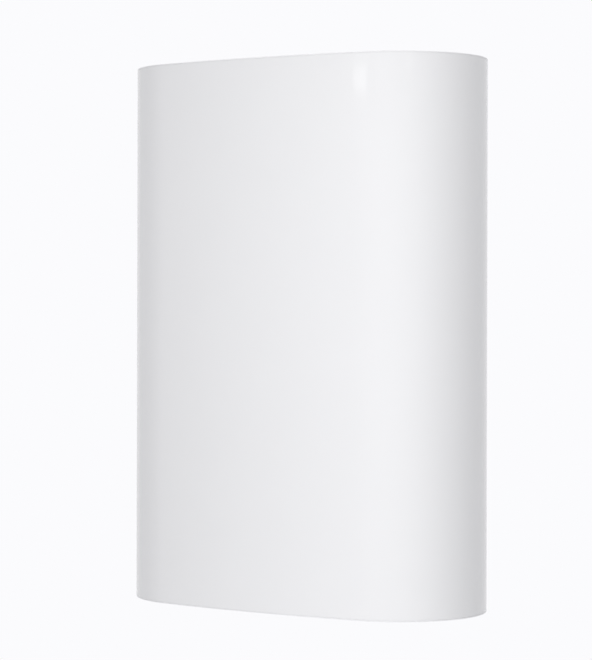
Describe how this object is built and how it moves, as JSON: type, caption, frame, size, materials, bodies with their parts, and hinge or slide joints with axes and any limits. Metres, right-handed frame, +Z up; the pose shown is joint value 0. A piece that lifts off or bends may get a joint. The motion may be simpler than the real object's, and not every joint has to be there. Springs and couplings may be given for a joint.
{
  "type": "indirect water heater",
  "caption": "Flat wall-hung indirect water heater: white stadium-shaped casing over coil-heated steel tanks, with pipe stubs, knob and thermometer in a base recess.",
  "frame": {"origin": "middle of the upper hanging rail's back face, on the wall", "axes": "+Z up, +Y into the wall, so the front faces -Y and +X is to the right of someone who faces the front"},
  "size_m": [0.6654, 0.33, 0.93],
  "materials": {
    "white_enamel": "gloss white enamel on sheet steel",
    "white_plastic": "gloss white moulding",
    "zinc_steel": "zinc-plated steel",
    "yellow_foam": "rigid polyurethane foam",
    "stainless": "stainless steel",
    "brass": "machined brass",
    "blue_plastic": "blue moulding",
    "red_plastic": "red moulding",
    "grey_plastic": "grey moulding",
    "magnesium": "magnesium rod",
    "black_rubber": "matt rubber",
    "black_plastic": "black moulding",
    "dial_white": "printed white dial",
    "clear_lens": "clear lens",
    "copper": "drawn copper tube"
  },
  "bodies": {
    "heater": {"jacket": "white_enamel", "jacket_seam_strip": "white_enamel", "top_cap": "white_plastic", "bottom_cap": "white_plastic", "service_cover": "white_plastic", "anode_cap_left": "white_plastic", "anode_cap_right": "white_plastic", "cap_screw_top_left": "zinc_steel", "cap_screw_top_right": "zinc_steel", "cap_screw_bottom_left": "zinc_steel", "cap_screw_bottom_right": "zinc_steel", "cover_screw_left": "zinc_steel", "cover_screw_right": "zinc_steel", "top_rail": "zinc_steel", "bottom_rail": "zinc_steel", "rail_bolt_top_left": "zinc_steel", "rail_bolt_top_right": "zinc_steel", "rail_bolt_bottom_left": "zinc_steel", "rail_bolt_bottom_right": "zinc_steel", "foam_insulation": "yellow_foam", "tank_left": "stainless", "tank_right": "stainless", "coil_left": "stainless", "coil_right": "stainless", "coil_link": "stainless", "transfer_pipe": "stainless", "hot_standpipe": "stainless", "cold_inlet_diffuser": "stainless", "sensor_pocket": "stainless", "cold_inlet_stub": "brass", "hot_outlet_stub": "brass", "recirculation_stub": "brass", "heating_flow_stub": "brass", "heating_return_stub": "brass", "cold_inlet_ring": "blue_plastic", "hot_outlet_ring": "red_plastic", "recirculation_ring": "grey_plastic", "heating_flow_ring": "grey_plastic", "heating_return_ring": "grey_plastic", "anode_plug_left": "brass", "anode_plug_right": "brass", "anode_rod_left": "magnesium", "anode_rod_right": "magnesium", "anode_seal_left": "black_rubber", "anode_seal_right": "black_rubber", "thermostat_body": "black_plastic", "limit_thermostat": "black_plastic", "terminal_block": "black_plastic", "cable_gland": "black_plastic", "gland_nut": "black_plastic", "thermometer_case": "grey_plastic", "thermometer_dial": "dial_white", "thermometer_lens": "clear_lens", "thermostat_capillary": "copper", "thermometer_capillary": "copper"},
    "knob": {"thermostat_knob": "white_plastic", "thermostat_spindle": "zinc_steel"},
    "needle": {"thermometer_needle": "black_plastic"},
    "button": {"reset_button": "red_plastic"}
  },
  "joints": [
    {"name": "knob_turn", "type": "hinge", "parent": "heater", "child": "knob", "pos_m": [-0.046, -0.236, -0.7623], "axis": [0, 0, 1], "range_deg": [0, 270]},
    {"name": "needle_turn", "type": "hinge", "parent": "heater", "child": "needle", "pos_m": [0.046, -0.236, -0.7596], "axis": [0, 0, 1], "range_deg": [-40, 200]},
    {"name": "button_press", "type": "slide", "parent": "heater", "child": "button", "axis": [0, 0, 1], "range_m": [0, 0.002], "stiffness_N_per_m": 600, "springref_m": -0.0005}
  ]
}
